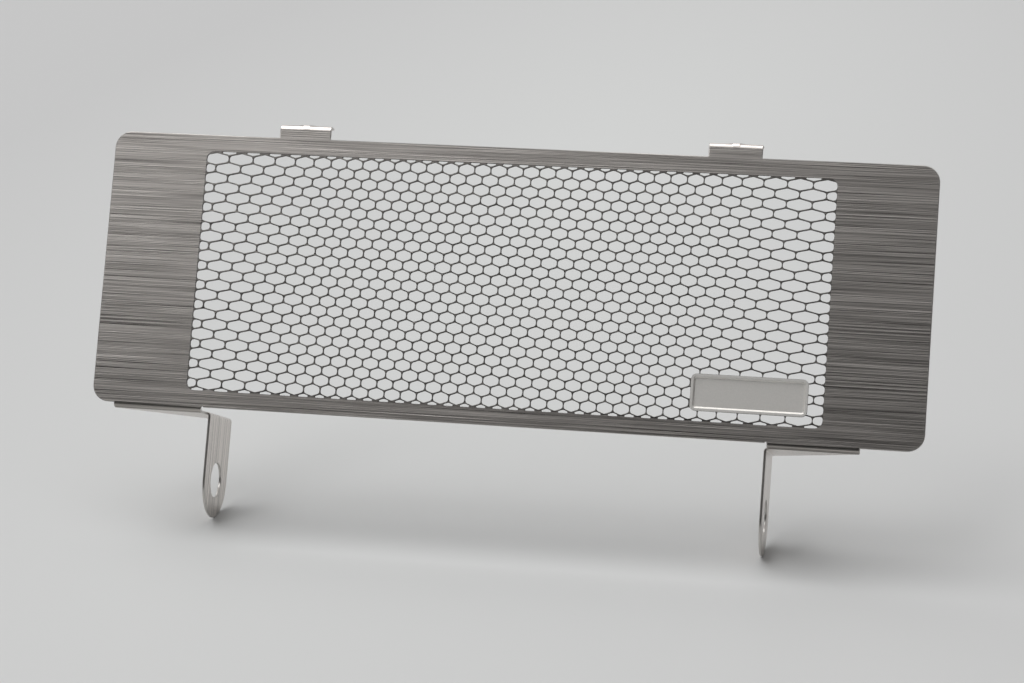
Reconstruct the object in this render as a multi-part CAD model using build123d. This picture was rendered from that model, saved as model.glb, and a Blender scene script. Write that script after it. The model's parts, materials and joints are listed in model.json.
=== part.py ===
from build123d import *

import math
import os

# Oil cooler guard: one stainless sheet, pierced with a honeycomb, pressed and folded.
#
# The sheet is made upright first: X runs along the panel from its middle, Y points
# back from the panel's front face and Z points up from the panel's middle.
# The finished sheet is then moved so that the axis of the two leg eyes is the
# origin, and tipped back about that axis by LEAN. All sizes are in millimetres.

# Sheet
T = 0.8
BEND_R = 0.8
LEAN = 23.5

# Panel, and the plain bands that frame its pierced field
PANEL_W = 250.0
PANEL_H = 83.3
PANEL_CORNER = 5.0
END_BAND = 29.4
EDGE_BAND = 5.05
FIELD_CORNER = 2.4

# Honeycomb: cells are even in the middle and widen over WIDENING_L at both ends of
# the field, each by a share of the one before. The sizes are those of one cell of the
# real grille. Each cell cut here spans CELL_SPAN of them both ways, with its struts as
# many times wider.
CELL_W = 4.92
CELL_H = 2.99
CELL_RISE = 0.9
STRUT_W = 0.36
CELL_SPAN = 2
WIDENING_L = 39.0
WIDENING_SHARE = 0.0893
SMALLEST_HOLE = 0.8

# Bare badge plate in the field's lower right corner: a shallow tray pressed back
# out of the sheet, with a flat rim
BADGE_W = 34.2
BADGE_H = 10.9
BADGE_CORNER = 1.7
BADGE_END_GAP = 4.6
BADGE_FOOT_GAP = 3.05
BADGE_RIM = 0.8
BADGE_DEPTH = 0.5
BADGE_WALL = 0.6

# Hooks that rest on the top of the cooler: tabs folded back over the panel's top edge,
# each centred HOOK_INSET from an end, with a low bump across the middle of the bend
HOOK_W = 16.0
HOOK_INSET = 59.7
HOOK_RISE = 4.2
HOOK_DEPTH = 3.8
HOOK_CORNER = 0.5
BUMP_W = 2.2
BUMP_H = 0.25

# Brackets: a flange folded back from the panel's lower edge, and a leg folded down
# from the flange's inner end. The insets run from the panel's ends to the legs' faces
# that look at each other.
LEFT_LEG_INSET = 35.8
RIGHT_LEG_INSET = 46.3
LEFT_FLANGE_L = 27.6
RIGHT_FLANGE_L = 26.9
LEG_BEND_R = 0.4
LEG_W = 23.0
LEG_SETBACK = 6.5
EYE_DROP = 20.8
EYE_R = 5.25
RELIEF_R = 0.3

# Worked out from the sizes above
FIELD_W = PANEL_W - 2 * END_BAND
FIELD_H = PANEL_H - 2 * EDGE_BAND
EVEN_CELLS = (FIELD_W / 2 - WIDENING_L) / CELL_W
BADGE_X = FIELD_W / 2 - BADGE_END_GAP - BADGE_W / 2
BADGE_Z = BADGE_FOOT_GAP + BADGE_H / 2 - FIELD_H / 2
HOOK_X = PANEL_W / 2 - HOOK_INSET
BRACKETS = (
    (-1, PANEL_W / 2 - LEFT_LEG_INSET, LEFT_FLANGE_L),
    (1, PANEL_W / 2 - RIGHT_LEG_INSET, RIGHT_FLANGE_L),
)
BEND_OUT = BEND_R + T
LEG_BEND_OUT = LEG_BEND_R + T
TOP_Z = PANEL_H / 2
BOTTOM_Z = -PANEL_H / 2
FLANGE_Z = BOTTOM_Z - BEND_OUT
EYE_Y = LEG_SETBACK + LEG_W / 2
EYE_Z = BOTTOM_Z - EYE_DROP


def column_x(cells):
    """Distance from the middle to a place so many real cells along the field."""
    even = min(abs(cells), EVEN_CELLS)
    wide = abs(cells) - even
    growth = 1 + WIDENING_SHARE
    grown = CELL_W * growth / WIDENING_SHARE * (growth**wide - 1)
    return math.copysign(even * CELL_W + grown, cells)


def cell_corners(column, row_z):
    """Six corners of a cell, on the middle lines of its struts, turning left."""
    left = column_x(column - CELL_SPAN / 2)
    middle = column_x(column)
    right = column_x(column + CELL_SPAN / 2)
    half_h = CELL_H * CELL_SPAN / 2
    half_rise = CELL_RISE * CELL_SPAN / 2
    shoulder = half_h - half_rise
    crown = half_h + half_rise
    return [
        (left, row_z + shoulder),
        (left, row_z - shoulder),
        (middle, row_z - crown),
        (right, row_z - shoulder),
        (right, row_z + shoulder),
        (middle, row_z + crown),
    ]


def inset(corners, distance):
    """Corners of a convex outline after each of its sides moves inwards."""
    lines = []
    for (x0, z0), (x1, z1) in zip(corners, corners[1:] + corners[:1]):
        length = math.hypot(x1 - x0, z1 - z0)
        nx, nz = (z0 - z1) / length, (x1 - x0) / length
        lines.append((nx, nz, nx * x0 + nz * z0 + distance))
    moved = []
    for (a, b, c), (d, e, f) in zip(lines[-1:] + lines[:-1], lines):
        scale = a * e - b * d
        moved.append(((c * e - b * f) / scale, (a * f - c * d) / scale))
    return moved


def clipped(corners, axis, limit):
    """The part of a convex outline with the chosen coordinate inside +-limit."""
    for side in (-1, 1):
        kept = []
        for here, there in zip(corners, corners[1:] + corners[:1]):
            room_here = limit - side * here[axis]
            room_there = limit - side * there[axis]
            if room_here >= 0:
                kept.append(here)
            if room_here * room_there < 0:
                share = room_here / (room_here - room_there)
                kept.append(tuple(h + (t - h) * share for h, t in zip(here, there)))
        corners = kept
    return corners


def is_open_enough(outline):
    """True for an outline that is more than a sliver both ways."""
    if len(outline) < 3:
        return False
    spans = [max(values) - min(values) for values in zip(*outline)]
    return min(spans) > SMALLEST_HOLE


def field_cells():
    """Outlines of all the cells, cut off at the field's straight sides."""
    outlines = []
    row_pitch = CELL_H * CELL_SPAN
    rows = math.ceil(FIELD_H / 2 / row_pitch) + 1
    for row in range(-rows, rows):
        column = 0 if row % 2 else CELL_SPAN / 2
        while column_x(column - CELL_SPAN / 2) < FIELD_W / 2:
            for mirrored in {column, -column}:
                hole = inset(cell_corners(mirrored, (row + 0.5) * row_pitch), STRUT_W * CELL_SPAN / 2)
                hole = clipped(hole, 0, FIELD_W / 2)
                hole = clipped(hole, 1, FIELD_H / 2)
                if is_open_enough(hole):
                    outlines.append(hole)
            column += CELL_SPAN
    return outlines


def honeycomb_holes():
    """Outlines of all the holes, trimmed at the field's round corners and the badge."""
    field = RectangleRounded(FIELD_W, FIELD_H, FIELD_CORNER)
    badge = Pos(BADGE_X, BADGE_Z) * RectangleRounded(BADGE_W, BADGE_H, BADGE_CORNER)
    badge_box = badge.bounding_box()
    holes = []
    for outline in field_cells():
        xs, zs = zip(*outline)
        in_corner = (
            max(abs(x) for x in xs) > FIELD_W / 2 - FIELD_CORNER
            and max(abs(z) for z in zs) > FIELD_H / 2 - FIELD_CORNER
        )
        at_badge = (
            max(xs) > badge_box.min.X
            and min(xs) < badge_box.max.X
            and max(zs) > badge_box.min.Y
            and min(zs) < badge_box.max.Y
        )
        hole = make_face(Polyline(*outline, close=True))
        if in_corner:
            hole = hole & field
        if at_badge:
            hole = hole - badge
        for face in hole.faces():
            size = face.bounding_box().size
            if min(size.X, size.Y) > SMALLEST_HOLE:
                holes.append(face.outer_wire())
    return holes


def panel():
    """The flat front panel with its honeycomb, badge opening and fold reliefs."""
    outline = RectangleRounded(PANEL_W, PANEL_H, PANEL_CORNER)
    for side, leg_x, flange_l in BRACKETS:
        relief_x = side * (leg_x + LEG_BEND_OUT - RELIEF_R)
        outline -= Pos(relief_x, BOTTOM_Z) * Circle(RELIEF_R)
    tray = Pos(BADGE_X, BADGE_Z) * badge_shape(-BADGE_RIM)
    holes = honeycomb_holes() + [tray.face().outer_wire()]
    pierced = Face(outline.face().outer_wire(), holes)
    return extrude(Plane.XZ * pierced, amount=T, dir=(0, 1, 0))


def badge_shape(margin):
    """The badge's outline, larger all round by a margin, or smaller if it is negative."""
    return RectangleRounded(BADGE_W + 2 * margin, BADGE_H + 2 * margin, BADGE_CORNER + margin)


def badge_tray():
    """The pressed tray behind the badge's rim: a floor set back, and the wall round it."""
    front = BADGE_DEPTH / 2
    place = Plane(origin=(BADGE_X, front, BADGE_Z), x_dir=(1, 0, 0), z_dir=(0, -1, 0))
    outside = place * badge_shape(BADGE_WALL - BADGE_RIM)
    hollow = place * badge_shape(-BADGE_RIM)
    tray = extrude(outside, amount=BADGE_DEPTH + T - front, dir=(0, 1, 0))
    return tray - extrude(hollow, amount=BADGE_DEPTH - front, dir=(0, 1, 0))


def bent_strip(outside, inside, radius):
    """Section of a bent strip, from the corner points of its two sides."""
    first = FilletPolyline(*outside, radius=radius + T)
    second = FilletPolyline(*inside, radius=radius)
    return make_face([first, second, Line(outside[0], inside[0]), Line(outside[-1], inside[-1])])


def hook(centre_x):
    """A tab folded back over the panel's top edge, with round corners at its tip."""
    root = TOP_Z - T
    crest = TOP_Z + HOOK_RISE
    section = bent_strip(
        [(0, root), (0, crest), (HOOK_DEPTH, crest)],
        [(T, root), (T, crest - T), (HOOK_DEPTH, crest - T)],
        BEND_R,
    )
    strip = extrude(Plane.YZ.offset(centre_x - HOOK_W / 2) * section, amount=HOOK_W)
    tip_corners = strip.edges().filter_by(Axis.Z).group_by(Axis.Y)[-1]
    return fillet(tip_corners, min(HOOK_CORNER, HOOK_W / 3)) + bend_bump(centre_x)


def bend_bump(centre_x):
    """The low bump across the middle of a hook's bend, sunk into half the sheet."""
    middle = Pos(BEND_OUT, TOP_Z + HOOK_RISE - BEND_OUT)
    arch = Circle(BEND_OUT + BUMP_H) - Circle(BEND_R + T / 2)
    arch &= Pos(-BEND_OUT, BEND_OUT) * Rectangle(2 * BEND_OUT, 2 * BEND_OUT)
    return extrude(Plane.YZ.offset(centre_x - BUMP_W / 2) * (middle * arch), amount=BUMP_W)


def flange(side, leg_x, flange_l):
    """A flange folded back from the panel's lower edge, cut off along a slant."""
    inner = side * (leg_x + LEG_BEND_OUT)
    outer = side * (leg_x + LEG_BEND_OUT + flange_l)
    leg_back = LEG_SETBACK + LEG_W
    section = bent_strip(
        [(0, BOTTOM_Z + T), (0, FLANGE_Z), (leg_back, FLANGE_Z)],
        [(T, BOTTOM_Z + T), (T, FLANGE_Z + T), (leg_back, FLANGE_Z + T)],
        BEND_R,
    )
    strip = extrude(Plane.YZ.offset(min(inner, outer)) * section, amount=flange_l)
    blank = make_face(Polyline((outer, 0), (inner, 0), (inner, leg_back), (outer, BEND_OUT), close=True))
    above = Plane.XY.offset(FLANGE_Z)
    return strip & extrude(above * blank, amount=BEND_OUT + T, dir=(0, 0, 1))


def leg(side, leg_x):
    """A leg folded down from the flange's inner end, with a round foot and its eye."""
    face_in = side * leg_x
    face_out = side * (leg_x + T)
    flange_end = side * (leg_x + LEG_BEND_OUT + T)
    plate_top = FLANGE_Z - LEG_BEND_R
    bend_end = plate_top - T
    section = bent_strip(
        [(flange_end, FLANGE_Z + T), (face_in, FLANGE_Z + T), (face_in, bend_end)],
        [(flange_end, FLANGE_Z), (face_out, FLANGE_Z), (face_out, bend_end)],
        LEG_BEND_R,
    )
    bend = extrude(Plane.XZ.offset(-LEG_SETBACK) * section, amount=LEG_W, dir=(0, 1, 0))
    height = plate_top - EYE_Z
    outline = Pos(EYE_Y, EYE_Z + height / 2) * Rectangle(LEG_W, height)
    outline += Pos(EYE_Y, EYE_Z) * Circle(LEG_W / 2)
    outline -= Pos(EYE_Y, EYE_Z) * Circle(EYE_R)
    plate = extrude(Plane.YZ.offset(min(face_in, face_out)) * outline, amount=T)
    return bend + plate


def guard_sheet():
    """The whole folded sheet in its resting frame, as one solid."""
    folds = [badge_tray(), hook(-HOOK_X), hook(HOOK_X)]
    for side, leg_x, flange_l in BRACKETS:
        folds += [flange(side, leg_x, flange_l), leg(side, leg_x)]
    sheet = panel() + folds
    return Rot(-LEAN, 0, 0) * Pos(0, -EYE_Y, -EYE_Z) * sheet


os.makedirs("parts", exist_ok=True)
guard = guard_sheet()
export_step(guard, "parts/guard_sheet.step")
print("solids", len(guard.solids()), "volume", round(guard.volume, 1))
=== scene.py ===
"""Dresses the oil cooler guard: one folded stainless sheet, pierced with a fine honeycomb.

The sheet is worked out flat, as its blank was cut. On the blank u runs along the panel to the
right, v runs up and w runs into the sheet from its front face. The blank is then folded, and
leaned back about the axis of the leg eyes.
"""
import json
import logging
import math
from collections.abc import Callable
from dataclasses import dataclass, field, replace
from enum import Enum

import bpy
from mathutils import Matrix, Vector
from mathutils.geometry import delaunay_2d_cdt

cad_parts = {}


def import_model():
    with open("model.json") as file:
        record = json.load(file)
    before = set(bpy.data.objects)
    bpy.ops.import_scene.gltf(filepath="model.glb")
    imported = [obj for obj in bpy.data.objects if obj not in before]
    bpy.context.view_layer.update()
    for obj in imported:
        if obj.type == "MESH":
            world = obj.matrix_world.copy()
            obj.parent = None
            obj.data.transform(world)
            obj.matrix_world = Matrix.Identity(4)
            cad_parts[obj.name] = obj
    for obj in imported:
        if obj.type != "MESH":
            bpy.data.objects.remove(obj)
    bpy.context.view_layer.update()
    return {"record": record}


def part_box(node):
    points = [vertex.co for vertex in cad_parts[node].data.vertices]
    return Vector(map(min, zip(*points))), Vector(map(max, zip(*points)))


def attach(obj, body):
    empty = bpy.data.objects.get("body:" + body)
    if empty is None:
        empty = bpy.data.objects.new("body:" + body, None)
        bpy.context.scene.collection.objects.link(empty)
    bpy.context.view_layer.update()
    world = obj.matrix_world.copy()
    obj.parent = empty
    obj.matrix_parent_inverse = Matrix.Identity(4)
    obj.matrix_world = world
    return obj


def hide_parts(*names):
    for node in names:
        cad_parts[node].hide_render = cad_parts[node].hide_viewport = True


MM = 0.001
QUARTER = math.pi / 2
BLANK_MAP = "blank"
NODE = "guard_sheet"
LOG = logging.getLogger("oil_cooler_guard")

Point = tuple[float, float]
Tone = tuple[float, float, float]
Term = "Wire | float"


class Side(Enum):
    """The side of the guard that a bracket is on, seen from the front."""

    LEFT = -1
    RIGHT = 1


class Finish(Enum):
    """The finishes of the sheet, in the order of its material slots.

    The faces are brushed; the badge plate is pressed, and its colour is painted lighter for the light
    it catches; the cells' walls are cut, and painted near black for the shade inside the cells; the
    struts and the flanges' folds are a darker copy of the brushed steel, painted shade; and every
    other rim is an EDGE.
    """

    BRUSHED = 0
    PRESSED_PAINTED_LIGHT = 1
    CUT = 2
    PAINTED_SHADE = 3
    EDGE = 4


def operator(operation: str, swapped: bool = False) -> Callable[..., "Wire"]:
    """Makes a method of Wire that adds the Math node of one operation.

    Args:
        operation: its Blender name.
        swapped: whether the wire comes last, for Python's reflected operators.

    Returns:
        The method.
    """
    def method(self: "Wire", *others: Term) -> "Wire":
        """Adds the node and gives its result."""
        terms = (*others, self) if swapped else (self, *others)
        return self.graph.math(operation, *terms)
    return method


class Wire:
    """A node's output that can stand in Python expressions."""

    def __init__(self, graph: "Graph", socket: bpy.types.NodeSocket) -> None:
        """Keeps the output and the graph that its expressions add nodes to."""
        self.graph = graph
        self.socket = socket

    __add__ = __radd__ = operator("ADD")
    __mul__ = __rmul__ = operator("MULTIPLY")
    __sub__ = operator("SUBTRACT")
    __rsub__ = operator("SUBTRACT", swapped=True)
    __truediv__ = operator("DIVIDE")
    __pow__ = operator("POWER")
    __mod__ = operator("FLOORED_MODULO")
    __gt__ = operator("GREATER_THAN")
    __abs__ = operator("ABSOLUTE")

    def apply(self, operation: str, *others: Term) -> "Wire":
        """Any other operation of a Math node, by its Blender name."""
        return self.graph.math(operation, self, *others)

    def limited(self, low: Term, high: Term) -> "Wire":
        """The value kept between two others."""
        return self.apply("MAXIMUM", low).apply("MINIMUM", high)


class Graph:
    """A node tree in the making."""

    def __init__(self, tree: bpy.types.NodeTree) -> None:
        """Starts from an empty tree.

        Args:
            tree: the tree of a material, a world or a Geometry Nodes modifier.
        """
        self.tree = tree
        tree.nodes.clear()

    def node(self, kind: str, settings: dict | None = None,
             inputs: dict | None = None) -> bpy.types.Node:
        """Adds one node.

        Args:
            kind: the node's Blender type.
            settings: properties, set before the inputs.
            inputs: values or wires, by socket name or number.

        Returns:
            The new node.
        """
        made = self.tree.nodes.new(kind)
        for name, value in (settings or {}).items():
            setattr(made, name, value)
        for key, value in (inputs or {}).items():
            if isinstance(value, Wire):
                self.tree.links.new(value.socket, made.inputs[key])
            else:
                made.inputs[key].default_value = value
        return made

    def wire(self, kind: str, settings: dict | None = None, inputs: dict | None = None,
             output: int | str = 0) -> Wire:
        """Adds one node and gives one of its outputs.

        Args:
            kind: the node's Blender type.
            settings: as for node.
            inputs: as for node.
            output: the output's name or number.

        Returns:
            The output as a wire.
        """
        return Wire(self, self.node(kind, settings, inputs).outputs[output])

    def math(self, operation: str, *terms: Term) -> Wire:
        """Adds a Math node.

        Args:
            operation: its Blender name.
            terms: wires or numbers, in the order of its inputs.

        Returns:
            The result.
        """
        return self.wire("ShaderNodeMath", {"operation": operation}, dict(enumerate(terms)))

    def blend(self, share: Term, first: Tone, second: Tone) -> Wire:
        """Mixes two colours.

        Args:
            share: how much of the second colour shows.
            first: linear red, green and blue.
            second: linear red, green and blue.

        Returns:
            The mixed colour.
        """
        settings = {"data_type": "RGBA", "clamp_factor": True}
        return self.wire("ShaderNodeMix", settings, {0: share, 6: (*first, 1), 7: (*second, 1)}, 2)

    def remember(self, geometry: Wire, name: str, value: Wire, kind: str = "FLOAT_VECTOR") -> Wire:
        """Adds a node that stores a value on each point of a geometry.

        Args:
            geometry: the geometry.
            name: the attribute's name.
            value: what is stored.
            kind: its data type.

        Returns:
            The geometry with the attribute.
        """
        return self.wire("GeometryNodeStoreNamedAttribute", {"data_type": kind, "domain": "POINT"}, {
            "Geometry": geometry, "Name": name, "Value": value})

    def parts(self, vector: Wire) -> list[Wire]:
        """Splits a vector into its three numbers."""
        node = self.node("ShaderNodeSeparateXYZ", None, {0: vector})
        return [Wire(self, output) for output in node.outputs]


def new_material(name: str) -> tuple[bpy.types.Material, Graph]:
    """Makes a material with an empty tree.

    Args:
        name: its name.

    Returns:
        The material and its tree.
    """
    material = bpy.data.materials.new(name)
    material.use_nodes = True
    return material, Graph(material.node_tree)


def arc(centre: Point, radius: float, start: float, turn: float, steps: int) -> list[Point]:
    """Points along an arc, with both its ends.

    Args:
        centre: its centre.
        radius: its radius.
        start: the direction of its first point, in quarter turns from +u.
        turn: how far it goes, in quarter turns, negative for clockwise.
        steps: its number of chords.

    Returns:
        The points in order.
    """
    angles = [(start + turn * step / steps) * QUARTER for step in range(steps + 1)]
    return [(centre[0] + radius * math.cos(a), centre[1] + radius * math.sin(a)) for a in angles]


def rounded_box(centre: Point, width: float, height: float, radius: float, steps: int) -> list[Point]:
    """Outline of a box with round corners, turning left.

    Args:
        centre: its centre.
        width: its size along u.
        height: its size along v.
        radius: its corners' radius.
        steps: chords per corner.

    Returns:
        The points, without the first one repeated.
    """
    across, up = width / 2 - radius, height / 2 - radius
    corners = [(1, 1, 0), (-1, 1, 1), (-1, -1, 2), (1, -1, 3)]
    points = []
    for su, sv, start in corners:
        points += arc((centre[0] + su * across, centre[1] + sv * up), radius, start, 1, steps)
    return points


def eased(share: float) -> float:
    """A step from 0 to 1 with soft ends, for a share from 0 to 1."""
    share = min(max(share, 0.0), 1.0)
    return share * share * (3 - 2 * share)


@dataclass(frozen=True)
class Stock:
    """The sheet that the guard is made from."""

    thickness: float = 0.8 * MM
    bend_radius: float = 0.8 * MM
    bend_steps: int = 8
    edge_round: float = 0.25 * MM
    hole_round: float = 0.045 * MM

    @property
    def outer_radius(self) -> float:
        """Radius of a bend's outer face."""
        return self.bend_radius + self.thickness

    @property
    def bend_length(self) -> float:
        """Length of blank that a quarter bend takes up, along the middle of the sheet."""
        return QUARTER * (self.bend_radius + self.thickness / 2)

    def bend_cuts(self, start: float) -> list[float]:
        """Distances along a route where a bend that begins at start is sliced."""
        step = self.bend_length / self.bend_steps
        return [start + step * number for number in range(self.bend_steps + 1)]


@dataclass(frozen=True)
class Route:
    """The way that a strip of the blank goes when it is folded, seen on its edge.

    Straight runs alternate with quarter bends, and the last run has no end.
    """

    stock: Stock
    runs: tuple[float, ...]
    towards_back: bool = True

    def at(self, distance: float, depth: float) -> tuple[float, float, float]:
        """Where a point of the strip comes to lie.

        Args:
            distance: its distance along the blank from the route's start.
            depth: its depth below the front face.

        Returns:
            Its place along the first direction, its place across it towards the back of the
            sheet, and the angle by which the strip has turned towards its back there.
        """
        sign = 1 if self.towards_back else -1
        radius = self.stock.outer_radius if self.towards_back else -self.stock.bend_radius
        along, across, turned = 0.0, 0.0, 0.0
        for run in self.runs:
            cos, sin = math.cos(turned), math.sin(turned)
            step = min(distance, run)
            along, across = along + step * cos, across + step * sin
            distance -= step
            if distance <= 0:
                break
            bend = min(distance, self.stock.bend_length)
            distance -= bend
            centre = (along - radius * sin, across + radius * cos)
            turned += sign * QUARTER * bend / self.stock.bend_length
            cos, sin = math.cos(turned), math.sin(turned)
            along, across = centre[0] + radius * sin, centre[1] - radius * cos
        cos, sin = math.cos(turned), math.sin(turned)
        distance = max(distance, 0.0)
        return along + distance * cos - depth * sin, across + distance * sin + depth * cos, turned


@dataclass
class CutPattern:
    """Everything that is cut or creased in the flat blank."""

    points: list[Point] = field(default_factory=list)
    metal: list[list[int]] = field(default_factory=list)
    openings: list[list[int]] = field(default_factory=list)
    creases: list[tuple[int, int]] = field(default_factory=list)
    fine_points: set[int] = field(default_factory=set)

    def _store(self, outline: list[Point], fine: bool) -> list[int]:
        """Keeps an outline's points, turning left, and gives their numbers."""
        pairs = zip(outline, outline[1:] + outline[:1])
        if sum(a[0] * b[1] - b[0] * a[1] for a, b in pairs) < 0:
            outline = outline[::-1]
        first = len(self.points)
        self.points += outline
        numbers = list(range(first, len(self.points)))
        if fine:
            self.fine_points.update(numbers)
        return numbers

    def keep(self, outline: list[Point], fine: bool = False) -> None:
        """Says that there is metal inside an outline, whatever opening reaches into it.

        Args:
            outline: its points.
            fine: whether its edge is as sharp as the honeycomb's.
        """
        self.metal.append(self._store(outline, fine))

    def open(self, outline: list[Point], fine: bool = False) -> None:
        """Cuts an opening, apart from what later calls of keep cover.

        Args:
            outline: its points.
            fine: whether its edge is as sharp as the honeycomb's.
        """
        self.openings.append(self._store(outline, fine))

    def crease(self, line: list[Point], closed: bool = False) -> None:
        """Makes the mesh follow a line, for a bend or a pressed form.

        Args:
            line: its points.
            closed: whether the last point joins the first.
        """
        first = len(self.points)
        self.points += line
        numbers = list(range(first, len(self.points)))
        self.creases += zip(numbers, numbers[1:])
        if closed:
            self.creases.append((numbers[-1], numbers[0]))


@dataclass(frozen=True)
class Honeycomb:
    """The pierced field. Cells are even in the middle and widen towards both ends."""

    cell_width: float = 4.92 * MM
    cell_height: float = 2.99 * MM
    rise: float = 0.9 * MM
    strut: float = 0.35 * MM
    side_strut: float = 0.25 * MM
    corner_radius: float = 0.8 * MM
    border_radius: float = 0.26 * MM
    widening_length: float = 39.0 * MM
    widening_share: float = 0.0893
    field_width: float = 191.2 * MM
    field_height: float = 73.2 * MM
    field_corner: float = 2.4 * MM
    least_opening: float = 1.0 * MM
    rounding_points: int = 2
    weld: float = 0.02 * MM
    patch_margin: float = 0.1 * MM
    patch_steps: int = 8

    def _tree(self, material: bpy.types.Material) -> tuple[bpy.types.NodeTree, dict[str, float]]:
        """Builds the Geometry Nodes that make every cell as one flat face, with their inputs."""
        whole_rows = 2 * math.floor(self.field_height / 2 / self.cell_height)
        half_columns = math.ceil(self.field_width / 2 / self.cell_width)
        values = {
            "Rows": whole_rows + 2,
            "Columns": 2 * half_columns + 1,
            "Cell Width": self.cell_width,
            "Cell Height": self.cell_height,
            "Rise": self.rise,
            "Strut": self.strut,
            "Side Strut": self.side_strut,
            "Corner Radius": self.corner_radius,
            "Border Radius": self.border_radius,
            "Even Cells": (self.field_width / 2 - self.widening_length) / self.cell_width,
            "Widening": self.widening_share,
            "Half Width": self.field_width / 2,
            "Half Height": self.field_height / 2,
            "Least Opening": self.least_opening,
        }
        tree = bpy.data.node_groups.new("honeycomb_cells", "GeometryNodeTree")
        tree.interface.new_socket(name="Geometry", in_out="INPUT", socket_type="NodeSocketGeometry")
        tree.interface.new_socket(name="Geometry", in_out="OUTPUT", socket_type="NodeSocketGeometry")
        for name in values:
            whole = name in ("Rows", "Columns")
            kind = "NodeSocketInt" if whole else "NodeSocketFloat"
            tree.interface.new_socket(name=name, in_out="INPUT", socket_type=kind)
        graph = Graph(tree)
        group = graph.node("NodeGroupInput")
        sizes = {name: Wire(graph, group.outputs[name]) for name in values}
        cells = self._cell_points(graph, sizes)
        corners = self._cell_corners(graph, sizes, cells)
        merged = graph.wire("GeometryNodeMergeByDistance", None, {
            "Geometry": corners, "Distance": self.weld})
        outlines = graph.wire("GeometryNodeMeshToCurve", None, {"Mesh": merged})
        radius = graph.wire("GeometryNodeInputNamedAttribute", {"data_type": "FLOAT"}, {
            "Name": "rounding"})
        rounded = graph.wire("GeometryNodeFilletCurve", {"mode": "POLY"}, {
            "Curve": outlines, "Count": self.rounding_points, "Radius": radius,
            "Limit Radius": True})
        faces = graph.wire("GeometryNodeFillCurve", {"mode": "NGONS"}, {"Curve": rounded})
        realized = graph.wire("GeometryNodeRealizeInstances", None, {"Geometry": faces})
        finished = graph.wire("GeometryNodeSetMaterial", None, {
            "Geometry": realized, "Material": material})
        graph.node("NodeGroupOutput", None, {"Geometry": finished})
        return tree, values

    @staticmethod
    def _column_place(sizes: dict[str, Wire], cells: Wire) -> Wire:
        """Distance from the field's middle to a place so many cells along it, with its sign."""
        even = abs(cells).apply("MINIMUM", sizes["Even Cells"])
        growth = sizes["Widening"] + 1
        grown = growth ** (abs(cells) - even) - 1
        distance = even + grown * growth / sizes["Widening"]
        return distance * sizes["Cell Width"] * cells.apply("SIGN")

    def _cell_points(self, graph: Graph, sizes: dict[str, Wire]) -> Wire:
        """Makes one point for each cell in the field, which carries its column and row."""
        index = graph.wire("GeometryNodeInputIndex")
        line = (index / sizes["Columns"]).apply("FLOOR")
        row = line - sizes["Rows"] / 2
        column = index % sizes["Columns"] - (sizes["Columns"] - 1) / 2 + (line % 2) * 0.5
        near_edge = self._column_place(sizes, abs(column) - 0.5)
        outside = near_edge > sizes["Half Width"] - sizes["Least Opening"]
        at_border = abs(row + 0.5) > sizes["Rows"] / 2 - 1
        beyond = at_border * (self._column_place(sizes, abs(column)) > sizes["Half Width"])
        points = graph.wire("GeometryNodePoints", None, {"Count": sizes["Rows"] * sizes["Columns"]})
        place = graph.wire("ShaderNodeCombineXYZ", None, {0: column, 1: row, 2: at_border})
        marked = graph.remember(points, "cell", place)
        return graph.wire("GeometryNodeDeleteGeometry", {"domain": "POINT"}, {
            "Geometry": marked, "Selection": (outside + beyond) > 0.5})

    def _cell_corners(self, graph: Graph, sizes: dict[str, Wire], cells: Wire) -> Wire:
        """Sets a six-cornered face on each point and moves its corners to their places.

        A corner's side is -1, 0 or 1 for left, middle and right, and its level is -1 or 1 for
        low and high. Whole cells are cut off at the field's ends. The cells of the two border
        rows are cut down to a flat triangle on the field's long side. Each corner carries the
        radius that it is rounded with.
        """
        ring = graph.wire("GeometryNodeMeshCircle", {"fill_type": "NGON"}, {"Vertices": 6})
        angle = graph.wire("GeometryNodeInputIndex") * (math.pi / 3) - math.pi / 6
        level = angle.apply("SINE").apply("SIGN")
        marks = graph.wire("ShaderNodeCombineXYZ", None, {
            0: angle.apply("COSINE").apply("ROUND"), 1: level})
        template = graph.remember(ring, "corner", marks)
        placed = graph.wire("GeometryNodeInstanceOnPoints", None, {
            "Points": cells, "Instance": template})
        faces = graph.wire("GeometryNodeRealizeInstances", None, {"Geometry": placed})

        vector = {"data_type": "FLOAT_VECTOR"}
        cell = graph.wire("GeometryNodeInputNamedAttribute", vector, {"Name": "cell"})
        corner = graph.wire("GeometryNodeInputNamedAttribute", vector, {"Name": "corner"})
        column, row, border = graph.parts(cell)
        side, high, _ = graph.parts(corner)

        middle = self._column_place(sizes, column)
        left = self._column_place(sizes, column - 0.5)
        right = self._column_place(sizes, column + 0.5)
        to_left, to_right = middle - left, right - middle
        is_middle = 1 - abs(side)
        half = (right - left) / 2
        reach = (side > 0.5) * to_right + (side * -1 > 0.5) * to_left + is_middle * half
        slope = sizes["Rise"] / reach
        inset = sizes["Strut"] / 2
        inset_up = inset * (slope * slope + 1).apply("SQRT")
        crown = (sizes["Cell Height"] + sizes["Rise"]) / 2
        row_place = (row + 0.5) * sizes["Cell Height"]

        side_inset = sizes["Side Strut"] / 2
        ends = sizes["Half Width"] * -1, sizes["Half Width"]
        whole_x = (middle + side * (reach - side_inset)).limited(*ends)
        whole_y = row_place + high * (crown - slope * abs(whole_x - middle) - inset_up)

        outward = (row + 0.5).apply("SIGN")
        edge = outward * sizes["Half Height"]
        tip = row_place - outward * (crown - inset_up)
        spread = abs(edge - tip) / slope
        border_x = (middle + side * spread).limited(*ends)
        is_tip = is_middle * (high * outward * -1 > 0.5)
        border_y = edge + (tip - edge) * is_tip

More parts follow.
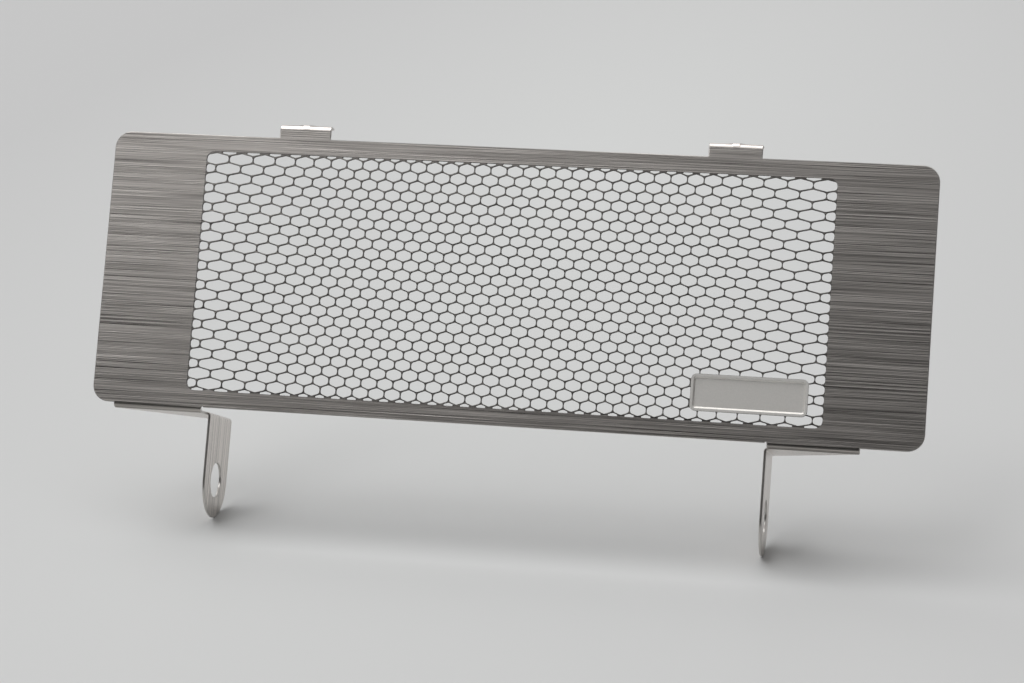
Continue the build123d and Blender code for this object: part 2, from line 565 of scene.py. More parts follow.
        x = whole_x + (border_x - whole_x) * border
        y = whole_y + (border_y - whole_y) * border
        position = graph.wire("ShaderNodeCombineXYZ", None, {0: x, 1: y})
        moved = graph.wire("GeometryNodeSetPosition", None, {"Geometry": faces, "Position": position})
        sharp = border * abs(side)
        whole, cut_down = sizes["Corner Radius"], sizes["Border Radius"]
        return graph.remember(moved, "rounding", whole + (cut_down - whole) * sharp, "FLOAT")

    def cells(self, material: bpy.types.Material) -> list[list[Point]]:
        """Runs the Geometry Nodes and reads the outlines of all cells.

        Args:
            material: the finish that the faces are given.

        Returns:
            One outline for each cell.
        """
        tree, values = self._tree(material)
        holder = bpy.data.objects.new("cell_faces", bpy.data.meshes.new("cell_faces"))
        bpy.context.scene.collection.objects.link(holder)
        modifier = holder.modifiers.new("cells", "NODES")
        modifier.node_group = tree
        for item in tree.interface.items_tree:
            if item.in_out == "INPUT" and item.name in values:
                modifier[item.identifier] = values[item.name]
        evaluated = holder.evaluated_get(bpy.context.evaluated_depsgraph_get())
        faces = bpy.data.meshes.new_from_object(evaluated)
        holder.modifiers.remove(modifier)
        places = [tuple(vertex.co[:2]) for vertex in faces.vertices]
        outlines = [[places[number] for number in face.vertices] for face in faces.polygons]
        bpy.data.meshes.remove(faces)
        bpy.data.objects.remove(holder)
        return outlines

    def cut(self, pattern: CutPattern, material: bpy.types.Material) -> int:
        """Opens every cell in the blank, and keeps the field's corners round.

        Args:
            pattern: the blank's pattern.
            material: the finish that the cells' faces are given.

        Returns:
            The number of cells.
        """
        outlines = self.cells(material)
        for outline in outlines:
            pattern.open(outline, fine=True)
        across = self.field_width / 2 - self.field_corner
        up = self.field_height / 2 - self.field_corner
        reach = self.field_corner + self.patch_margin
        for su in (-1, 1):
            for sv in (-1, 1):
                curve = arc((across, up), self.field_corner, 0, 1, self.patch_steps)
                far = across + reach, up + reach
                patch = [(far[0], up), *curve, (across, far[1]), far]
                pattern.keep([(su * u, sv * v) for u, v in patch], fine=True)
        return len(outlines)


@dataclass(frozen=True)
class BadgePlate:
    """The bare badge plate: a shallow tray pressed in the sheet, with a flat rim."""

    comb: Honeycomb
    width: float = 34.2 * MM
    height: float = 10.9 * MM
    corner: float = 1.7 * MM
    end_gap: float = 4.6 * MM
    foot_gap: float = 3.05 * MM
    rim: float = 0.75 * MM
    depth: float = 0.5 * MM
    wall: float = 0.55 * MM
    least_corner: float = 0.3 * MM
    wall_steps: int = 6
    corner_steps: int = 6

    @property
    def centre(self) -> Point:
        """Where its middle lies, from its gaps to the field's right end and foot."""
        across = self.comb.field_width / 2 - self.end_gap - self.width / 2
        return across, self.foot_gap + self.height / 2 - self.comb.field_height / 2

    def _outline(self, inset: float) -> list[Point]:
        """Its outline, moved inwards by a distance."""
        radius = max(self.corner - inset, self.least_corner)
        size = self.width - 2 * inset, self.height - 2 * inset
        return rounded_box(self.centre, *size, radius, self.corner_steps)

    def cut(self, pattern: CutPattern) -> None:
        """Keeps its metal in the blank, and creases the blank where its wall is pressed.

        Args:
            pattern: the blank's pattern.
        """
        pattern.keep(self._outline(0), fine=True)
        for step in range(self.wall_steps + 1):
            inset = self.rim + self.wall * step / self.wall_steps
            pattern.crease(self._outline(inset), closed=True)

    def inset_at(self, u: float, v: float) -> float:
        """How far inside the plate's outline a place of the blank is.

        Args:
            u: the place along the blank.
            v: the place up the blank.

        Returns:
            The distance, negative outside the plate.
        """
        across = abs(u - self.centre[0]) - self.width / 2 + self.corner
        up = abs(v - self.centre[1]) - self.height / 2 + self.corner
        outside = math.hypot(across, up) if across > 0 and up > 0 else max(across, up)
        return self.corner - outside

    def depth_at(self, u: float, v: float) -> float:
        """How far the sheet is pressed back at a place of the blank.

        Args:
            u: the place along the blank.
            v: the place up the blank.

        Returns:
            The depth.
        """
        return self.depth * eased((self.inset_at(u, v) - self.rim) / self.wall)


@dataclass(frozen=True)
class Hook:
    """A tab folded back over the panel's top edge, with a bump across its bend."""

    stock: Stock
    centre: float
    width: float = 16.0 * MM
    rise: float = 4.2 * MM
    depth: float = 3.8 * MM
    corner: float = 0.5 * MM
    corner_steps: int = 4
    bump_width: float = 2.2 * MM
    bump_height: float = 0.25 * MM
    bump_slope: float = 0.4 * MM

    @property
    def route(self) -> Route:
        """How the tab is folded, from the panel's top edge on."""
        return Route(self.stock, (self.bend_start,))

    @property
    def bend_start(self) -> float:
        """Distance up the flat tab to its bend."""
        return self.rise - self.stock.outer_radius

    @property
    def reach(self) -> float:
        """Length of the flat tab."""
        return self.bend_start + self.stock.bend_length + self.depth - self.stock.outer_radius

    def outline(self, top: float) -> list[Point]:
        """The tab's edge on the blank, from right to left.

        Args:
            top: the height of the panel's top edge.

        Returns:
            The points.
        """
        across, tip = self.width / 2 - self.corner, top + self.reach - self.corner
        right = arc((across, tip), self.corner, 0, 1, self.corner_steps)
        left = arc((-across, tip), self.corner, 1, 1, self.corner_steps)
        cuts = self.stock.bend_cuts(self.bend_start)
        rising = [(self.width / 2, top + cut) for cut in [0, *cuts]]
        falling = [(-self.width / 2, top + cut) for cut in [*reversed(cuts), 0]]
        return [(self.centre + u, v) for u, v in [*rising, *right, *left, *falling]]

    def crease(self, pattern: CutPattern, top: float) -> None:
        """Slices the tab across where it bends.

        Args:
            pattern: the blank's pattern.
            top: the height of the panel's top edge.
        """
        slope = [(self.bump_width + step * self.bump_slope) / 2 for step in (-2, -1, 0, 1, 2)]
        offsets = sorted([0.0, -self.width / 2, self.width / 2, *slope, *(-offset for offset in slope)])
        for cut in self.stock.bend_cuts(self.bend_start):
            pattern.crease([(self.centre + offset, top + cut) for offset in offsets])

    def raised_at(self, u: float, reach: float) -> float:
        """How far the bump raises the sheet: most at the bend's end, and nothing at the tip.

        Args:
            u: the place along the blank.
            reach: the distance up the tab from the panel's top edge.

        Returns:
            The height.
        """
        crest = self.bend_start + self.stock.bend_length
        along = 1 - abs(reach - crest) / self.stock.bend_length
        inside = (self.bump_width - abs(u - self.centre) * 2) / self.bump_slope / 2 + 0.5
        return self.bump_height * eased(inside) * eased(along)


@dataclass(frozen=True)
class Bracket:
    """A flange folded back from the panel's lower edge, and a leg folded down from it."""

    stock: Stock
    side: Side
    leg_face: float
    flange: float
    leg_bend: float = 0.4 * MM
    leg_width: float = 23.0 * MM
    setback: float = 6.5 * MM
    eye_drop: float = 20.8 * MM
    eye_radius: float = 5.25 * MM
    relief: float = 0.3 * MM
    relief_steps: int = 8
    foot_steps: int = 24
    eye_steps: int = 40

    @property
    def leg_stock(self) -> Stock:
        """The sheet with the tighter bend of the leg."""
        return replace(self.stock, bend_radius=self.leg_bend)

    @property
    def leg_start(self) -> float:
        """Distance from the middle to the flange's inner end, where the leg's bend begins."""
        return self.leg_face + self.leg_stock.outer_radius

    @property
    def flange_route(self) -> Route:
        """How the flange is folded, from the panel's lower edge on."""
        return Route(self.stock, (0.0,))

    @property
    def leg_route(self) -> Route:
        """How the leg is folded, from the flange on."""
        return Route(self.leg_stock, (0.0,), towards_back=False)

    def _leg_edges(self, foot: float) -> list[float]:
        """Heights on the blank of the leg's front and back edge."""
        backs = self.setback, self.setback + self.leg_width
        return [foot - (self.stock.bend_length + back - self.stock.outer_radius) for back in backs]

    def _eye(self, foot: float) -> Point:
        """Centre of the eye on the blank, for the right side."""
        leg = self.leg_stock
        reach = leg.bend_length + self.eye_drop - self.stock.outer_radius - leg.bend_radius
        return self.leg_start - reach, sum(self._leg_edges(foot)) / 2

    def _own_outline(self, foot: float) -> list[Point]:
        """The bracket's edge on the blank, for the right side and from left to right."""
        start = self.leg_start
        near, far = self._leg_edges(foot)
        folds, leg_folds = self.stock.bend_cuts(0), self.leg_stock.bend_cuts(0)
        notch = arc((start - self.relief, foot), self.relief, 2, -2, self.relief_steps)
        inner_end = [(start, foot - cut) for cut in folds[1:]]
        front_edge = [(start - cut, near) for cut in leg_folds]
        round_foot = arc(self._eye(foot), self.leg_width / 2, 1, 2, self.foot_steps)
        back_edge = [(start - cut, far) for cut in reversed(leg_folds)]
        outer_end = [(start + self.flange, foot - cut) for cut in reversed(folds)]
        return [*notch, *inner_end, *front_edge, *round_foot, *back_edge, *outer_end]

    def outline(self, foot: float) -> list[Point]:
        """The bracket's edge on the blank, from left to right along the panel's lower edge.

        Args:
            foot: the height of the panel's lower edge.

        Returns:
            The points.
        """
        points = self._own_outline(foot)
        if self.side is Side.LEFT:
            points = [(-u, v) for u, v in reversed(points)]
        return points

    def cut(self, pattern: CutPattern, foot: float) -> None:
        """Opens the eye, and slices the bracket where it bends.

        Args:
            pattern: the blank's pattern.
            foot: the height of the panel's lower edge.
        """
        sign, start = self.side.value, self.leg_start
        across, up = self._eye(foot)
        pattern.open(arc((sign * across, up), self.eye_radius, 0, 4, self.eye_steps)[:-1])
        for cut in self.stock.bend_cuts(0):
            pattern.crease([(sign * start, foot - cut), (sign * (start + self.flange), foot - cut)])
        for cut in self.leg_stock.bend_cuts(0):
            pattern.crease([(sign * (start - cut), height) for height in self._leg_edges(foot)])


@dataclass(frozen=True)
class Panel:
    """The flat front of the guard."""

    width: float
    height: float = 83.3 * MM
    corner: float = 5.0 * MM
    corner_steps: int = 10

    @property
    def top(self) -> float:
        """Height of its upper edge."""
        return self.height / 2

    def outline(self, hooks: list[Hook], brackets: list[Bracket]) -> list[Point]:
        """The blank's whole outer edge, turning left.

        Args:
            hooks: the tabs on the upper edge.
            brackets: the flanges and legs on the lower edge.

        Returns:
            The points.
        """
        across, up = self.width / 2 - self.corner, self.top - self.corner
        points = arc((-across, -up), self.corner, 2, 1, self.corner_steps)
        for bracket in sorted(brackets, key=lambda item: item.side.value):
            points += bracket.outline(-self.top)
        points += arc((across, -up), self.corner, 3, 1, self.corner_steps)
        points += arc((across, up), self.corner, 0, 1, self.corner_steps)
        for hook in sorted(hooks, key=lambda item: -item.centre):
            points += hook.outline(self.top)
        return points + arc((-across, up), self.corner, 1, 1, self.corner_steps)


@dataclass
class GuardSheet:
    """The whole guard: panel, honeycomb, badge plate, hooks and brackets in one sheet."""

    lean: float
    stock: Stock
    panel: Panel
    hooks: list[Hook]
    brackets: list[Bracket]
    comb: Honeycomb
    badge: BadgePlate
    weld: float = 1e-5
    probe: float = 0.01 * MM
    sharpest_turn: float = 0.7

    def _folded(self, u: float, v: float, depth: float) -> tuple[Vector, Matrix]:
        """Where a point of the blank comes to lie on the upright guard.

        The matrix's columns are the directions of u, v and depth there.
        """
        right = Vector((1, 0, 0))
        top = self.panel.top
        if v > top:
            along, across, turned = self.hooks[0].route.at(v - top, depth)
            up = Vector((0, math.sin(turned), math.cos(turned)))
            back = Vector((0, math.cos(turned), -math.sin(turned)))
            return Vector((u, across, top + along)), Matrix((right, up, back)).transposed()
        if v >= -top:
            return Vector((u, depth, v)), Matrix(((1, 0, 0), (0, 0, 1), (0, 1, 0)))
        bracket = self.brackets[0] if u * self.brackets[0].side.value > 0 else self.brackets[1]
        sign = bracket.side.value
        inwards = bracket.leg_start - u * sign
        along, across, turned = bracket.flange_route.at(-top - v, depth)
        if inwards <= 0 or -top - v <= self.stock.bend_length:
            up = Vector((0, -math.sin(turned), math.cos(turned)))
            back = Vector((0, math.cos(turned), math.sin(turned)))
            return Vector((u, across, -top - along)), Matrix((right, up, back)).transposed()
        skin_along, skin_across, _ = bracket.flange_route.at(-top - v, 0)
        reach, drop, turned = bracket.leg_route.at(inwards, depth)
        place = Vector((sign * (bracket.leg_start - reach), skin_across, drop - top - skin_along))
        right = Vector((math.cos(turned), 0, -sign * math.sin(turned)))
        back = Vector((sign * math.sin(turned), 0, math.cos(turned)))
        return place, Matrix((right, Vector((0, -1, 0)), back)).transposed()

    def _pressed(self, u: float, v: float) -> float:
        """How far back the sheet is pressed at a place of the blank."""
        reach = v - self.panel.top
        raised = sum(hook.raised_at(u, reach) for hook in self.hooks) if reach > 0 else 0.0
        return self.badge.depth_at(u, v) - raised

    def _stance(self) -> Matrix:
        """The move from the upright guard to the frame: leaned back about the eyes' axis."""
        bracket = self.brackets[0]
        eye = Vector((0, bracket.setback + bracket.leg_width / 2, -self.panel.top - bracket.eye_drop))
        return Matrix.Rotation(-self.lean, 4, "X") @ Matrix.Translation(-eye)

    def _pattern(self, material: bpy.types.Material) -> CutPattern:
        """Collects all that is cut and creased in the blank, its outer edge first."""
        pattern = CutPattern()
        pattern.keep(self.panel.outline(self.hooks, self.brackets))
        count = self.comb.cut(pattern, material)
        LOG.info("honeycomb: %d cells", count)
        self.badge.cut(pattern)
        for hook in self.hooks:
            hook.crease(pattern, self.panel.top)
        for bracket in self.brackets:
            bracket.cut(pattern, -self.panel.top)
        return pattern

    def _triangles(self, pattern: CutPattern) -> tuple[
            list[Point], list[list[int]], list[bool], set[int]]:
        """Divides the blank's metal into triangles.

        Returns:
            The points, the triangles that are metal, whether each of them lies where metal was
            kept within the field, and the points on fine edges.
        """
        scaled = [Vector((u / MM, v / MM)) for u, v in pattern.points]
        outlines = pattern.metal[:1] + pattern.openings + pattern.metal[1:]
        places, _, faces, sources, _, owners = delaunay_2d_cdt(
            scaled, pattern.creases, outlines, 1, self.weld)
        last_opening = len(pattern.openings)
        kept, plain = [], []
        for face, owner in zip(faces, owners):
            opened = any(0 < number <= last_opening for number in owner)
            covered = any(number > last_opening for number in owner)
            if 0 in owner and (covered or not opened):
                kept.append(face)
                plain.append(covered)
        coarse = set(range(len(pattern.points))) - pattern.fine_points
        fine = {number for number, source in enumerate(sources) if not coarse.intersection(source)}
        return [(place.x * MM, place.y * MM) for place in places], kept, plain, fine

    def _edge_normals(self, points: list[Point], edges: list[tuple[int, int]]) -> dict[int, Vector]:
        """Works out which way each point on an edge looks, with the metal on the edge's left.

        Returns:
            The direction at each point, longer where the edge turns a corner.
        """
        sums: dict[int, list[Vector]] = {}
        for first, second in edges:
            run = Vector(points[second]) - Vector(points[first])
            normal = Vector((run.y, -run.x)).normalized()
            sums.setdefault(first, []).append(normal)
            sums.setdefault(second, []).append(normal)
        normals = {}
        for number, parts in sums.items():
            total = sum(parts, Vector((0, 0)))
            middle = total.normalized()
            normals[number] = middle / max(middle.dot(parts[0]), self.sharpest_turn)
        return normals

    def build(self, finishes: dict[Finish, bpy.types.Material]) -> bpy.types.Object:
        """Makes the folded sheet.

        Args:
            finishes: the material of each finish.

        Returns:
            The finished object.
        """
        points, triangles, plain, fine = self._triangles(self._pattern(finishes[Finish.BRUSHED]))
        sides = {(face[i - 1], face[i]) for face in triangles for i in range(3)}
        edges = sorted(side for side in sides if side[::-1] not in sides)
        normals = self._edge_normals(points, edges)
        thickness = self.stock.thickness
        used = sorted({number for face in triangles for number in face})
        corners: list[tuple[float, float, float, Vector]] = []
        front: dict[int, int] = {}
        lip: dict[int, list[int]] = {}
        back: dict[int, int] = {}

        def add(u: float, v: float, depth: float, normal: Vector) -> int:
            """Keeps one corner of the mesh and gives its number."""
            corners.append((u, v, depth, normal))
            return len(corners) - 1

        for number in used:
            u, v = points[number]
            normal = normals.get(number)
            if normal is None:
                front[number] = add(u, v, 0.0, Vector((0, 0, -1)))
                back[number] = add(u, v, thickness, Vector((0, 0, 1)))
                continue
            rounding = self.stock.hole_round if number in fine else self.stock.edge_round
            inside = (u - normal.x * rounding, v - normal.y * rounding)
            wall = Vector((*normal, 0)).normalized()
            front[number] = add(*inside, 0.0, Vector((0, 0, -1)))
            lip[number] = [
                front[number],
                add(u, v, rounding, wall),
                add(u, v, thickness - rounding, wall),
                add(*inside, thickness, Vector((0, 0, 1))),
            ]
            back[number] = lip[number][-1]

        faces, slots = [], []
        for face, kept in zip(triangles, plain):
            middle = [sum(points[number][axis] for number in face) / 3 for axis in (0, 1)]
            # Strut faces and the flanges' folds get painted shade, a darker copy of the brushed steel,
            # on front and back.
            folded = 0 < -self.panel.top - middle[1] < self.stock.bend_length
            strut = fine.issuperset(face) and not kept
            sheet = Finish.PAINTED_SHADE if folded or strut else Finish.BRUSHED
            # The badge plate's front gets pressed steel whose colour is painted lighter for the light
            # it catches.
            slot = Finish.PRESSED_PAINTED_LIGHT if self.badge.inset_at(*middle) > 0 else sheet
            faces.append([front[number] for number in face])
            faces.append([back[number] for number in reversed(face)])
            slots += [slot.value, sheet.value]
        for first, second in edges:
            # Cell walls get cut steel painted near black for the shade inside the cells; other rims are
            # plain edges.
            cut = Finish.CUT if first in fine and second in fine else Finish.EDGE
            rings = zip(lip[first], lip[first][1:], lip[second][1:], lip[second])
            faces += [list(ring) for ring in rings]
            slots += [cut.value] * 3
        return self._object(corners, faces, slots, finishes)

    def _object(self, corners: list[tuple[float, float, float, Vector]], faces: list[list[int]],
                slots: list[int], finishes: dict[Finish, bpy.types.Material]) -> bpy.types.Object:
        """Presses, folds and leans the sheet, and makes it an object at the origin.

        Args:
            corners: place on the blank, depth and normal of each corner of the mesh.
            faces: the corners of each face.
            slots: the material slot of each face.
            finishes: the material of each finish.
        """
        stance = self._stance()
        turn = stance.to_3x3()
        places, looks = [], []
        for u, v, depth, normal in corners:
            place, directions = self._folded(u, v, depth + self._pressed(u, v))
            if abs(normal.z) > 0.5:
                slope_u = self._pressed(u + self.probe, v) - self._pressed(u - self.probe, v)
                slope_v = self._pressed(u, v + self.probe) - self._pressed(u, v - self.probe)
                normal = normal - normal.z * Vector((slope_u, slope_v, 0)) / (2 * self.probe)
            places.append(stance @ place)
            looks.append((turn @ directions @ normal).normalized())
        mesh = bpy.data.meshes.new(NODE)
        mesh.from_pydata(places, [], faces)
        chart = mesh.uv_layers.new(name=BLANK_MAP)
        for loop in mesh.loops:
            chart.data[loop.index].uv = corners[loop.vertex_index][:2]
        for finish in Finish:
            mesh.materials.append(finishes[finish])
        mesh.polygons.foreach_set("material_index", slots)
        mesh.polygons.foreach_set("use_smooth", [True] * len(faces))
        mesh.normals_split_custom_set_from_vertices(looks)
        mesh.update()
        sheet = bpy.data.objects.new("folded_sheet", mesh)
        bpy.context.scene.collection.objects.link(sheet)
        return sheet


@dataclass(frozen=True)
class BrushLines:
    """Brush lines of one size, and how much of the colour, gloss and relief they make."""

    length: float
    width: float
    seed: float
    contrast: float
    gloss: float = 0.0
    relief: float = 0.0
    octaves: float = 2.0
    octave_share: float = 0.65

    def build(self, graph: Graph) -> Wire:
        """Makes the lines on the flat blank.

        Args:
            graph: the tree in the making.

        Returns:
            A value about 0, brighter lines above it.
        """
        chart = graph.wire("ShaderNodeUVMap", {"uv_map": BLANK_MAP})
        placed = graph.wire("ShaderNodeMapping", None, {
            "Vector": chart, "Location": (self.seed, self.seed, 0),
            "Scale": (1 / self.length, 1 / self.width, 1)})
        noise = graph.wire("ShaderNodeTexNoise", {"noise_dimensions": "2D"}, {
            "Vector": placed, "Scale": 1.0, "Detail": self.octaves, "Roughness": self.octave_share})
        return noise - 0.5


@dataclass(frozen=True)
class BrushedSteel:
    """Stainless sheet with long brush lines along the panel."""

    name: str
    dark: Tone
    light: Tone
    roughness: float = 0.31
    groove: float = 0.024 * MM
    lines: tuple[BrushLines, ...] = (
        BrushLines(length=60 * MM, width=0.21 * MM, seed=3.7, contrast=2.2, gloss=0.16, relief=1.0),
        BrushLines(length=140 * MM, width=0.4 * MM, seed=11.3, contrast=1.0, gloss=0.16, relief=0.5),
        BrushLines(length=300 * MM, width=3.5 * MM, seed=29.1, contrast=0.15),
    )

    def build(self) -> bpy.types.Material:
        """Makes the material.

        Returns:
            The new material.
        """
        material, graph = new_material(self.name)
        drawn = [(lines, lines.build(graph)) for lines in self.lines]
        share = sum(value * lines.contrast for lines, value in drawn) + 0.5
        roughness = sum(value * lines.gloss for lines, value in drawn if lines.gloss)
        height = sum(value * lines.relief for lines, value in drawn if lines.relief)
        relief = graph.wire("ShaderNodeBump", None, {
            "Strength": 1.0, "Distance": self.groove, "Height": height})
        shader = graph.wire("ShaderNodeBsdfPrincipled", None, {
            "Base Color": graph.blend(share, self.dark, self.light), "Metallic": 1.0,
            "Roughness": roughness + self.roughness, "Normal": relief})
        graph.node("ShaderNodeOutputMaterial", None, {"Surface": shader})
        return material


@dataclass(frozen=True)
class PlainSteel:
    """Steel without brush lines, as it is pressed, sheared or cut."""

    name: str
    dark: Tone
    light: Tone
    roughness: float
    roughness_swing: float = 0.1
    grain: float = 0.5 * MM
    octaves: float = 3.0
    octave_share: float = 0.6
    relief: float = 0.4
    relief_depth: float = 0.02 * MM

    def build(self) -> bpy.types.Material:
        """Makes the material.

        Returns:
            The new material.
        """
        material, graph = new_material(self.name)
        place = graph.wire("ShaderNodeTexCoord", None, None, "Object")
        grain = graph.wire("ShaderNodeTexNoise", None, {
            "Vector": place, "Scale": 1 / self.grain, "Detail": self.octaves,
            "Roughness": self.octave_share})
        sockets = {
            "Base Color": graph.blend(grain, self.dark, self.light), "Metallic": 1.0,
            "Roughness": grain * self.roughness_swing + self.roughness}
        if self.relief:
            sockets["Normal"] = graph.wire("ShaderNodeBump", None, {
                "Strength": self.relief, "Distance": self.relief_depth, "Height": grain})
        shader = graph.wire("ShaderNodeBsdfPrincipled", None, sockets)
        graph.node("ShaderNodeOutputMaterial", None, {"Surface": shader})
        return material


@dataclass(frozen=True)
class PaleFloor:
    """The matt paper that the guard stands on, with a painted pool of light: its tone is lighter in a
    soft patch behind the guard.
    """

    height: float
    front: float = 0.2
    span: float = 8.0
    rim_steps: int = 64
    tone: Tone = (0.615, 0.615, 0.615)
    # The next three fields paint a pool of light on the paper: a lighter tone in a soft patch centred
    # behind the guard.
    painted_light_tone: Tone = (0.72, 0.728, 0.72)
    middle: Point = (-0.05, 0.45)
    painted_light_size: Point = (0.30, 1.1)
    roughness: float = 0.5
    sheen: float = 0.3

    def build(self) -> bpy.types.Object:
        """Makes the floor with its material.

        Returns:
            The floor's object, marked as no part of the guard.
        """
        material, graph = new_material("pale_paper")
        place = graph.wire("ShaderNodeTexCoord", None, None, "Object")
        inwards = graph.wire("ShaderNodeMapping", {"vector_type": "TEXTURE"}, {
            "Vector": place, "Location": (*self.middle, self.height), "Scale": (*self.painted_light_size, 1)})
        # The painted pool of light: the paper lightens towards the patch's centre.
        painted_light_pool = graph.wire("ShaderNodeTexGradient", {"gradient_type": "SPHERICAL"}, {
            "Vector": inwards}, "Fac")
        shader = graph.wire("ShaderNodeBsdfPrincipled", None, {
            "Base Color": graph.blend(painted_light_pool, self.tone, self.painted_light_tone),
            "Roughness": self.roughness, "Specular IOR Level": self.sheen})
        graph.node("ShaderNodeOutputMaterial", None, {"Surface": shader})
        mesh = bpy.data.meshes.new("floor")
        circle = arc((0, 0), self.span, 0, 4, self.rim_steps)[:-1]
        ring = [(u, max(v, -self.front), self.height) for u, v in circle]
        mesh.from_pydata(ring, [], [list(range(len(ring)))])
        mesh.materials.append(material)
        floor = bpy.data.objects.new("floor", mesh)
        bpy.context.scene.collection.objects.link(floor)
        return floor


@dataclass(frozen=True)
class SoftLight:
    """A large soft light far off, brightest in its middle and fading to nothing round it.

    Its heading counts degrees to the right from straight in front of the guard, and its height
    degrees above the floor.
    """

    heading: float
    height: float
    sharpness: float
    strength: float

    def shine(self, graph: Graph, direction: Wire) -> Wire:
        """Its light from each direction.

        Args:
            graph: the world's tree in the making.
            direction: the direction that is looked in.

        Returns:
            The light's strength there.
        """
        turn, lift = math.radians(self.heading), math.radians(self.height)
        level = math.cos(lift)
        middle = (math.sin(turn) * level, -math.cos(turn) * level, math.sin(lift))
        towards = graph.wire("ShaderNodeVectorMath", {"operation": "DOT_PRODUCT"}, {
            0: direction, 1: middle}, "Value")
        return towards.apply("MAXIMUM", 0.0) ** self.sharpness * self.strength


@dataclass(frozen=True)
class Room:
    """The studio's light: soft lights round the guard, and a pale backdrop behind it."""

    lights: tuple[SoftLight, ...]
    backdrop: float = 0.6
    backdrop_edge: float = 4.0

    def build(self) -> None:
        """Makes the world."""
        world = bpy.data.worlds.new("room")
        world.use_nodes = True
        bpy.context.scene.world = world
        graph = Graph(world.node_tree)
        direction = graph.wire("ShaderNodeTexCoord", None, None, "Generated")
        lit = sum(light.shine(graph, direction) for light in self.lights)
        _, backwards, _ = graph.parts(direction)
        behind = (backwards * self.backdrop_edge).limited(0.0, self.backdrop)
        path = graph.node("ShaderNodeLightPath")
        camera_ray = Wire(graph, path.outputs["Is Camera Ray"])
        glossy_ray = Wire(graph, path.outputs["Is Glossy Ray"])
        unseen = lit.apply("MAXIMUM", glossy_ray * behind)
        strength = camera_ray * self.backdrop + (1 - camera_ray) * unseen
        shader = graph.wire("ShaderNodeBackground", None, {
            "Color": (1, 1, 1, 1), "Strength": strength})
        graph.node("ShaderNodeOutputWorld", None, {"Surface": shader})


@dataclass(frozen=True)
class Viewpoint:
    """The camera of the photograph, from a fit to the panel, its grille and its legs."""

    place: tuple[float, float, float] = (141.87 * MM, -712.3 * MM, 272.91 * MM)
    heading_left: float = 11.002
    pitch_down: float = 17.079
    focal_pixels: float = 2575.5
    frame_pixels: int = 1024
    sensor: float = 36.0
    nearest: float = 0.01

    def build(self) -> bpy.types.Object:
        """Makes the camera and lets the scene use it.

        Returns:
            Its object.
        """
        lens = bpy.data.cameras.new("viewpoint")
        lens.sensor_fit = "HORIZONTAL"
        lens.sensor_width = self.sensor
        lens.lens = self.focal_pixels / self.frame_pixels * self.sensor
        lens.clip_start = self.nearest
        camera = bpy.data.objects.new("viewpoint", lens)
        bpy.context.scene.collection.objects.link(camera)
        camera.location = self.place
        camera.rotation_euler = (
            QUARTER - math.radians(self.pitch_down), 0, math.radians(self.heading_left))
        bpy.context.scene.camera = camera
        return camera


def lean_of(record: dict) -> float:
    """Reads from the record how far the panel leans back: its hooks open along the panel."""
    hook = next(mount for mount in record["mounts"] if mount["name"] == "left_hook")
    return math.atan2(-hook["axis"][1], -hook["axis"][2])


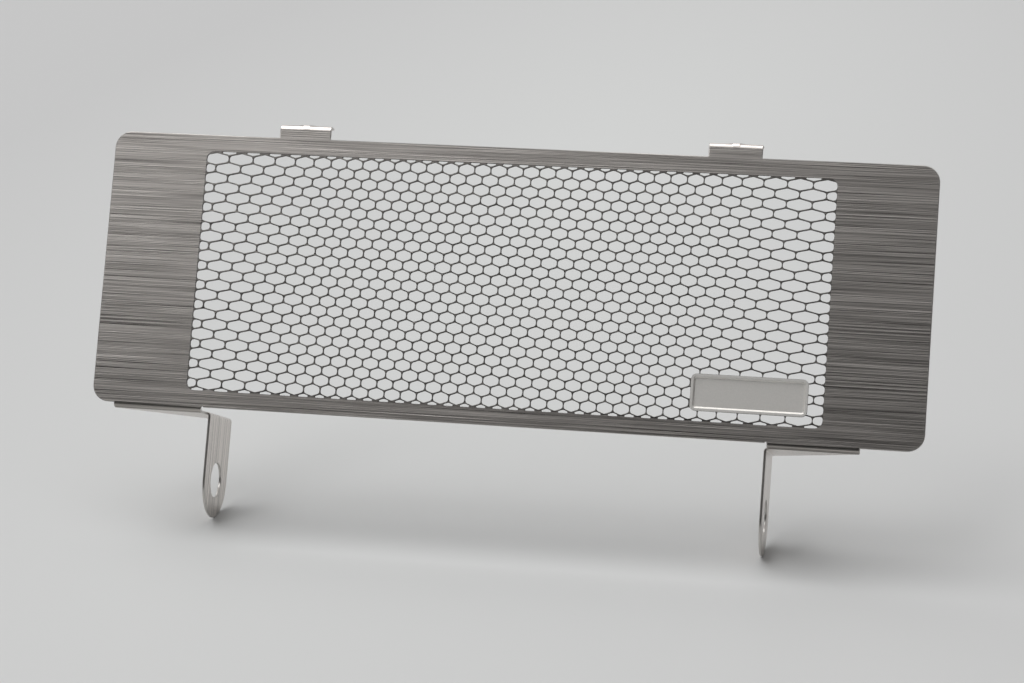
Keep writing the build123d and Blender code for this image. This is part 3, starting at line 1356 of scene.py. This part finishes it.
def build_finishes() -> dict[Finish, bpy.types.Material]:
    """Makes the material of each finish."""
    finishes = {
        Finish.BRUSHED: BrushedSteel(
            "brushed_steel", dark=(0.33, 0.309, 0.292), light=(0.99, 0.933, 0.886)),
        # The badge plate: satin pressed steel, its colour painted lighter for the key light it catches.
        Finish.PRESSED_PAINTED_LIGHT: PlainSteel(
            "pressed_steel_painted_light", dark=(0.78, 0.765, 0.735), light=(0.90, 0.88, 0.85), roughness=0.55),
        # The cells' walls: cut steel painted near black for the shade inside the cells.
        Finish.CUT: PlainSteel(
            "cut_steel_painted_shade", dark=(0.055, 0.052, 0.049), light=(0.11, 0.105, 0.10), roughness=0.45,
            roughness_swing=0.15, grain=0.3 * MM, octaves=2.0, octave_share=0.5, relief=0.0),
        # The struts and the flanges' folds: brushed steel painted darker for the shade that falls on
        # them.
        Finish.PAINTED_SHADE: BrushedSteel(
            "painted_shade_steel", dark=(0.14, 0.132, 0.125), light=(0.50, 0.471, 0.44)),
        Finish.EDGE: PlainSteel(
            "edge_steel", dark=(0.52, 0.50, 0.48), light=(0.64, 0.62, 0.59), roughness=0.28),
    }
    return {place: finish.build() for place, finish in finishes.items()}


def build_guard(record: dict, finishes: dict[Finish, bpy.types.Material]) -> bpy.types.Object:
    """Makes the guard from the frame's sizes.

    Args:
        record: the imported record.
        finishes: the material of each finish.

    Returns:
        The guard's object.
    """
    low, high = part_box(NODE)
    panel = Panel(width=high.x - low.x)
    hook_inset, left_inset, right_inset = 59.7 * MM, 35.8 * MM, 46.3 * MM
    stock, comb = Stock(), Honeycomb()
    hooks = [Hook(stock, side * (panel.width / 2 - hook_inset)) for side in (-1, 1)]
    brackets = [
        Bracket(stock, Side.LEFT, leg_face=panel.width / 2 - left_inset, flange=27.6 * MM),
        Bracket(stock, Side.RIGHT, leg_face=panel.width / 2 - right_inset, flange=26.9 * MM),
    ]
    guard = GuardSheet(lean_of(record), stock, panel, hooks, brackets, comb, BadgePlate(comb))
    return guard.build(finishes)


def main() -> None:
    """Builds the guard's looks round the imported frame, and the studio."""
    logging.basicConfig(level=logging.INFO, format="%(message)s")
    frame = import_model()
    bpy.context.scene.view_settings.view_transform = "Standard"

    finishes = build_finishes()
    LOG.info("finishes: %s", ", ".join(material.name for material in finishes.values()))
    sheet = build_guard(frame["record"], finishes)
    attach(sheet, "root")
    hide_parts(NODE)
    LOG.info("%s: %d faces", sheet.name, len(sheet.data.polygons))

    PaleFloor(height=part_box(NODE)[0].z).build()
    Room(lights=(
        SoftLight(heading=-35, height=50, sharpness=60, strength=4.48),
        SoftLight(heading=-10, height=50, sharpness=60, strength=0.27),
        SoftLight(heading=-60, height=28, sharpness=24, strength=0.11),
        SoftLight(heading=-100, height=38, sharpness=8, strength=0.85),
        SoftLight(heading=-120, height=66, sharpness=12, strength=3.48),
        SoftLight(heading=40, height=66, sharpness=12, strength=0.55),
        SoftLight(heading=180, height=66, sharpness=12, strength=0.32),
        SoftLight(heading=0, height=90, sharpness=12, strength=0.76),
    )).build()
    Viewpoint().build()


if __name__ == "__main__":
    main()
